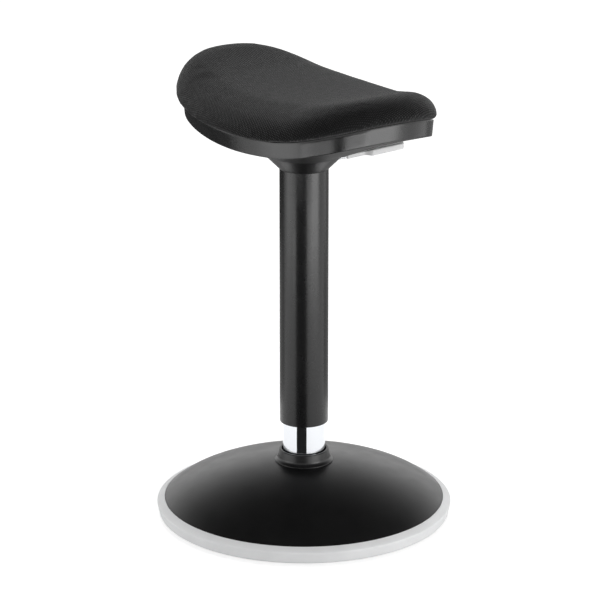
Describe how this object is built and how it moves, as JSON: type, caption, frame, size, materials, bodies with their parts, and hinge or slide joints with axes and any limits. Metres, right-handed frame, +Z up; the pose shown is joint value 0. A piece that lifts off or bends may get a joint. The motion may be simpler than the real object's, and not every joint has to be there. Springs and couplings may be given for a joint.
{
  "type": "height-adjustable perch stool",
  "caption": "Padded saddle seat with raised ends on a telescopic gas-lift column, with a side lever and a weighted dome base edged in soft rubber.",
  "frame": {"origin": "on the floor, under the column's axis, at the lowest seat setting", "axes": "+Z up along the column; X along the saddle seat's long axis; the lever points out at 66 degrees from +X towards +Y"},
  "size_m": [0.3502, 0.35, 0.5361],
  "materials": {
    "fabric": "matte knitted air mesh over foam",
    "black_plastic": "satin moulded black",
    "frame_plastic": "moulded dark grey",
    "black_paint": "smooth satin black powder coat",
    "chrome": "polished chrome plate",
    "grey_rubber": "smooth light grey soft rubber",
    "black_rubber": "matte black rubber",
    "white_plastic": "smooth moulded white",
    "steel": "bright zinc plated",
    "cast_iron": "raw casting, dark",
    "brass": "machined"
  },
  "bodies": {
    "base": {"base_sole": "black_rubber", "base_plate": "steel", "base_weight": "cast_iron", "base_dome": "black_paint", "base_ring": "grey_rubber", "sole_screws": "steel", "taper_hub": "steel", "outer_tube": "chrome", "column_collar": "black_plastic", "guide_bush": "frame_plastic", "lower_race": "steel", "bearing_balls": "steel", "ball_cage": "frame_plastic"},
    "rod": {"piston_rod": "steel", "piston": "frame_plastic", "piston_seal": "black_rubber", "upper_race": "steel", "stop_bumper": "black_rubber", "rod_clip": "steel"},
    "seat": {"pressure_tube": "steel", "rod_guide": "frame_plastic", "rod_seal": "black_rubber", "valve_body": "brass", "column_cover": "black_plastic", "seat_cone": "black_plastic", "seat_plate": "black_paint", "taper_socket": "steel", "plate_bolts": "steel", "seat_frame": "frame_plastic", "frame_inserts": "brass", "seat_shell": "black_plastic", "shell_screws": "steel", "seat_cushion": "fabric", "lever_pin": "steel"},
    "lever": {"lever_arm": "steel", "lever_paddle": "white_plastic"},
    "pin": {"release_pin": "steel"}
  },
  "joints": [
    {"name": "swivel", "type": "hinge", "parent": "base", "child": "rod", "pos_m": [0, 0, 0.02], "axis": [0, 0, 1], "continuous": true},
    {"name": "lift", "type": "slide", "parent": "rod", "child": "seat", "axis": [0, 0, 1], "range_m": [0, 0.2]},
    {"name": "lever_lift", "type": "hinge", "parent": "seat", "child": "lever", "pos_m": [0.00895, 0.0201, 0.432], "axis": [0.9135, -0.4067, 0], "range_deg": [0, 5], "stiffness_Nm_per_rad": 2},
    {"name": "pin_press", "type": "slide", "parent": "seat", "child": "pin", "axis": [0, 0, -1], "range_m": [0, 0.0022]}
  ],
  "couplings": [
    {"joint": "pin_press", "follows": "lever_lift", "m_per_rad": 0.022}
  ]
}
